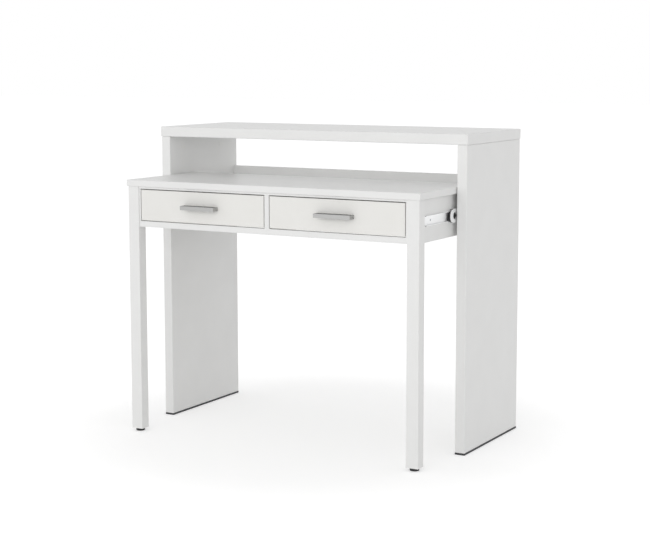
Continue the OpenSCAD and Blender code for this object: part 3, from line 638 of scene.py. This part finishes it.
def screw_row_tree():
    """A row of countersunk screws whose heads lie on a line, pointing along -Z of each screw."""
    tree = bpy.data.node_groups.new("screw_row", "GeometryNodeTree")
    face = tree.interface
    face.new_socket("Geometry", in_out="INPUT", socket_type="NodeSocketGeometry")
    for name, kind in (
        ("Head Diameter", "NodeSocketFloat"), ("Shank Diameter", "NodeSocketFloat"),
        ("Head Depth", "NodeSocketFloat"), ("Length", "NodeSocketFloat"),
        ("Slot Width", "NodeSocketFloat"), ("Turn", "NodeSocketVector"),
        ("Finish", "NodeSocketMaterial"),
    ):
        face.new_socket(name, in_out="INPUT", socket_type=kind)
    face.new_socket("Geometry", in_out="OUTPUT", socket_type="NodeSocketGeometry")
    given = add(tree, "NodeGroupInput").outputs
    times = {"operation": "MULTIPLY"}
    head_r = add(tree, "ShaderNodeMath", {0: given["Head Diameter"], 1: 0.5}, **times)
    shank_r = add(tree, "ShaderNodeMath", {0: given["Shank Diameter"], 1: 0.5}, **times)
    down = add(tree, "ShaderNodeMath", {0: given["Head Depth"], 1: -1.0}, **times)
    drop = add(tree, "ShaderNodeMath", {0: given["Length"], 1: -0.5}, **times)
    cone = add(
        tree,
        "GeometryNodeMeshCone",
        {
            "Vertices": SCREW_SIDES,
            "Radius Top": head_r.outputs[0],
            "Radius Bottom": shank_r.outputs[0],
            "Depth": given["Head Depth"],
        },
    )
    to_face = add(tree, "ShaderNodeCombineXYZ", {"Z": down.outputs[0]})
    head = add(
        tree,
        "GeometryNodeTransform",
        {"Geometry": cone.outputs["Mesh"], "Translation": to_face.outputs[0]},
    )
    rod = add(
        tree,
        "GeometryNodeMeshCylinder",
        {"Vertices": SCREW_SIDES, "Radius": shank_r.outputs[0], "Depth": given["Length"]},
    )
    to_depth = add(tree, "ShaderNodeCombineXYZ", {"Z": drop.outputs[0]})
    shank = add(
        tree,
        "GeometryNodeTransform",
        {"Geometry": rod.outputs["Mesh"], "Translation": to_depth.outputs[0]},
    )
    solid = add(tree, "GeometryNodeMeshBoolean", operation="UNION", solver="EXACT")
    tree.links.new(head.outputs[0], solid.inputs["Mesh 2"])
    tree.links.new(shank.outputs[0], solid.inputs["Mesh 2"])
    bars = []
    for long_axis in ("X", "Y"):
        short_axis = "Y" if long_axis == "X" else "X"
        size = add(
            tree,
            "ShaderNodeCombineXYZ",
            {
                long_axis: head_r.outputs[0],
                short_axis: given["Slot Width"],
                "Z": given["Head Depth"],
            },
        )
        bars.append(add(tree, "GeometryNodeMeshCube", {"Size": size.outputs[0]}))
    cross = add(tree, "GeometryNodeMeshBoolean", operation="DIFFERENCE", solver="EXACT")
    tree.links.new(solid.outputs[0], cross.inputs["Mesh 1"])
    for bar in bars:
        tree.links.new(bar.outputs["Mesh"], cross.inputs["Mesh 2"])
    row = add(
        tree,
        "GeometryNodeInstanceOnPoints",
        {
            "Points": given["Geometry"],
            "Instance": cross.outputs["Mesh"],
            "Rotation": given["Turn"],
        },
    )
    real = add(tree, "GeometryNodeRealizeInstances", {"Geometry": row.outputs[0]})
    done = add(
        tree,
        "GeometryNodeSetMaterial",
        {"Geometry": real.outputs[0], "Material": given["Finish"]},
    )
    add(tree, "NodeGroupOutput", {"Geometry": done.outputs[0]})
    return tree


screw_tree = screw_row_tree()
print("tree nodes:", len(screw_tree.nodes))

# %% [markdown]
# The rows are copied out as plain meshes, because a file of meshes can't hold the tree. The rows
# that move together become one piece, which rides on their body in place of plain screws.

# %% Set out the screws
SCREW = {
    "Head Diameter": 6.4 * MM, "Shank Diameter": 4.0 * MM, "Head Depth": 1.2 * MM,
    "Slot Width": 0.9 * MM,
}


def screw_row(points, turn, length):
    """Makes one row of screws at points, as a plain mesh."""
    mesh = bpy.data.meshes.new("row")
    mesh.from_pydata(points, [], [])
    holder = bpy.data.objects.new("row", mesh)
    bpy.context.scene.collection.objects.link(holder)
    modifier = holder.modifiers.new("screws", "NODES")
    modifier.node_group = screw_tree
    set_inputs(modifier, {**SCREW, "Length": length, "Turn": turn, "Finish": dull_zinc})
    bpy.context.view_layer.update()
    made = bpy.data.meshes.new_from_object(
        holder.evaluated_get(bpy.context.evaluated_depsgraph_get())
    )
    bpy.data.objects.remove(holder)
    return made


def join(name, meshes):
    """Joins plain meshes into one object at the origin."""
    whole = bmesh.new()
    for mesh in meshes:
        whole.from_mesh(mesh)
    joined = bpy.data.meshes.new(name)
    whole.to_mesh(joined)
    whole.free()
    joined.materials.append(dull_zinc)
    piece = bpy.data.objects.new(name, joined)
    bpy.context.scene.collection.objects.link(piece)
    return piece


# Parts of a member's length at which it is screwed on, its web's thickness, and a screw's length
SLIDE = (0.12, 0.5, 0.9), 1.2 * MM, 16 * MM
TRACK = (0.15, 0.85), 1.1 * MM, 6 * MM


def member_screws(node, places, web, length, inward):
    """Screws through a member's web. inward is the way the shanks point, -1 or 1 along X."""
    low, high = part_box(node)
    x = high.x - web if inward > 0 else low.x + web
    z = (low.z + high.z) / 2
    points = [(x, low.y + (high.y - low.y) * p, z) for p in places]
    return screw_row(points, (0.0, math.radians(-90 * inward), 0.0), length)


desk_rows, console_rows = [], []
for side, sign in (("left", -1), ("right", 1)):
    desk_rows.append(member_screws(f"{side}_slide_inner_member", *SLIDE, -sign))
    desk_rows.append(member_screws(f"{side}_drawer_outer_track", *TRACK, sign))
    desk_rows.append(member_screws(f"{side}_drawer_inner_track", *TRACK, -sign))
    console_rows.append(member_screws(f"{side}_slide_outer_member", *SLIDE, sign))
desk_screws = join("desk_cross_head_screws", desk_rows)
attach(desk_screws, "desk")
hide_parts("desk_screws")
console_screws = join("slide_cross_head_screws", console_rows)
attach(console_screws, "console")
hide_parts("slide_outer_screws")
print("screw faces:", len(desk_screws.data.polygons), len(console_screws.data.polygons))

# %% [markdown]
# ## Floor and background
#
# A catalogue picture stands its object on white with a faint shadow. The floor is pale and takes
# the shadow. For rays that come from the camera or a reflection it also glows a little, which
# lifts the bare floor to white while the shadow stays visible, and adds no light to the desk.

# %% Make the floor
FLOOR_HALF = 30.0
FLOOR_DROP = 0.2 * MM

mesh = bpy.data.meshes.new("floor")
corners = ((-1, -1), (1, -1), (1, 1), (-1, 1))
mesh.from_pydata(
    [(x * FLOOR_HALF, y * FLOOR_HALF, -FLOOR_DROP) for x, y in corners], [], [(0, 1, 2, 3)]
)
floor = bpy.data.objects.new("floor", mesh)
bpy.context.scene.collection.objects.link(floor)
print("floor is", 2 * FLOOR_HALF, "m across")

# %% White paper for the floor
# Distance from the desk's middle in metres, and the glow's strength there
GLOW_NEAR, GLOW_FAR = (0.5, 0.36), (1.0, 0.5)


def seen_rays(tree):
    """Gives 1 on rays from the camera, a reflection or glass, and 0 on rays that only light."""
    path = add(tree, "ShaderNodeLightPath").outputs
    seen = path["Is Camera Ray"]
    for kind in ("Is Glossy Ray", "Is Transmission Ray"):
        larger = add(tree, "ShaderNodeMath", {0: seen, 1: path[kind]}, operation="MAXIMUM")
        seen = larger.outputs[0]
    return seen


floor_paper, tree = new_material("white_paper_floor")
place = add(tree, "ShaderNodeTexCoord").outputs["Object"]
away = add(tree, "ShaderNodeVectorMath", {0: place}, operation="LENGTH")
glow_there = add(
    tree,
    "ShaderNodeMapRange",
    {
        "Value": away.outputs["Value"],
        "From Min": GLOW_NEAR[0],
        "From Max": GLOW_FAR[0],
        "To Min": GLOW_NEAR[1],
        "To Max": GLOW_FAR[1],
    },
    interpolation_type="SMOOTHSTEP",
)
lift = add(
    tree, "ShaderNodeMath", {0: seen_rays(tree), 1: glow_there.outputs[0]}, operation="MULTIPLY"
)
paper = add(tree, "ShaderNodeBsdfDiffuse", {"Color": linear("#E7E7E7")})
glow = add(tree, "ShaderNodeEmission", {"Strength": lift.outputs[0]})
both = add(tree, "ShaderNodeAddShader", {0: paper.outputs[0], 1: glow.outputs[0]})
add(tree, "ShaderNodeOutputMaterial", {"Surface": both.outputs[0]})
floor.data.materials.append(floor_paper)
print("made", floor_paper.name)

# %% [markdown]
# ## Light
#
# The picture shows white on white, and its tops, fronts and sides differ by only a few steps. So
# most of the light comes from a bright white room, dimmer overhead than at the walls. The camera
# and reflections see that room with walls of plain white and a dark ceiling, which gives the
# handles and slides something to mirror. One wide softbox, four and a half metres in front of the
# desk and higher than its top, makes the fronts a little lighter than the sides.

# %% World
HORIZON_LEVEL, ZENITH_LEVEL = 1.08, 0.55
# How far up a ray looks, as its direction's Z, and the level that the camera and reflections see
WALL, CEILING = (0.25, 1.0), (0.8, 0.2)

world = bpy.data.worlds.new("studio")
bpy.context.scene.world = world
world.use_nodes = True
tree = world.node_tree
tree.nodes.clear()
direction = add(tree, "ShaderNodeTexCoord").outputs["Generated"]
height = add(tree, "ShaderNodeSeparateXYZ", {0: direction})
lighting = add(
    tree,
    "ShaderNodeMapRange",
    {"Value": height.outputs["Z"], "To Min": HORIZON_LEVEL, "To Max": ZENITH_LEVEL},
)
shown = add(
    tree,
    "ShaderNodeMapRange",
    {
        "Value": height.outputs["Z"],
        "From Min": WALL[0],
        "From Max": CEILING[0],
        "To Min": WALL[1],
        "To Max": CEILING[1],
    },
)
# A ray that only lights takes the first level, and a ray that is seen the second
level = add(
    tree,
    "ShaderNodeMapRange",
    {"Value": seen_rays(tree), "To Min": lighting.outputs[0], "To Max": shown.outputs[0]},
)
sky = add(tree, "ShaderNodeBackground", {"Color": linear("#FFFFFF"), "Strength": level.outputs[0]})
add(tree, "ShaderNodeOutputWorld", {"Surface": sky.outputs[0]})
print("room level from", HORIZON_LEVEL, "at the horizon to", ZENITH_LEVEL, "overhead")

# %% Softbox
SOFTBOX_PLACE, SOFTBOX_AIM = Vector((0.3, -4.8, 1.6)), Vector((0.0, 0.0, 0.6))
SOFTBOX_WIDTH, SOFTBOX_HEIGHT, SOFTBOX_WATTS = 3.6, 2.0, 43

lamp_data = bpy.data.lights.new("front_softbox", "AREA")
lamp_data.shape = "RECTANGLE"
lamp_data.size, lamp_data.size_y = SOFTBOX_WIDTH, SOFTBOX_HEIGHT
lamp_data.energy = SOFTBOX_WATTS
lamp = bpy.data.objects.new("front_softbox", lamp_data)
bpy.context.scene.collection.objects.link(lamp)
lamp.location = SOFTBOX_PLACE
lamp.rotation_mode = "QUATERNION"
lamp.rotation_quaternion = (SOFTBOX_AIM - SOFTBOX_PLACE).to_track_quat("-Z", "Y")
print("softbox is", round((SOFTBOX_AIM - SOFTBOX_PLACE).length, 2), "m from what it lights")

# %% [markdown]
# ## Colour and finish
#
# The Standard view shows a colour as it is written, which is what a plain product picture wants.
# The last line updates the scene.

# %% Finish
bpy.context.scene.view_settings.view_transform = "Standard"
bpy.context.view_layer.update()
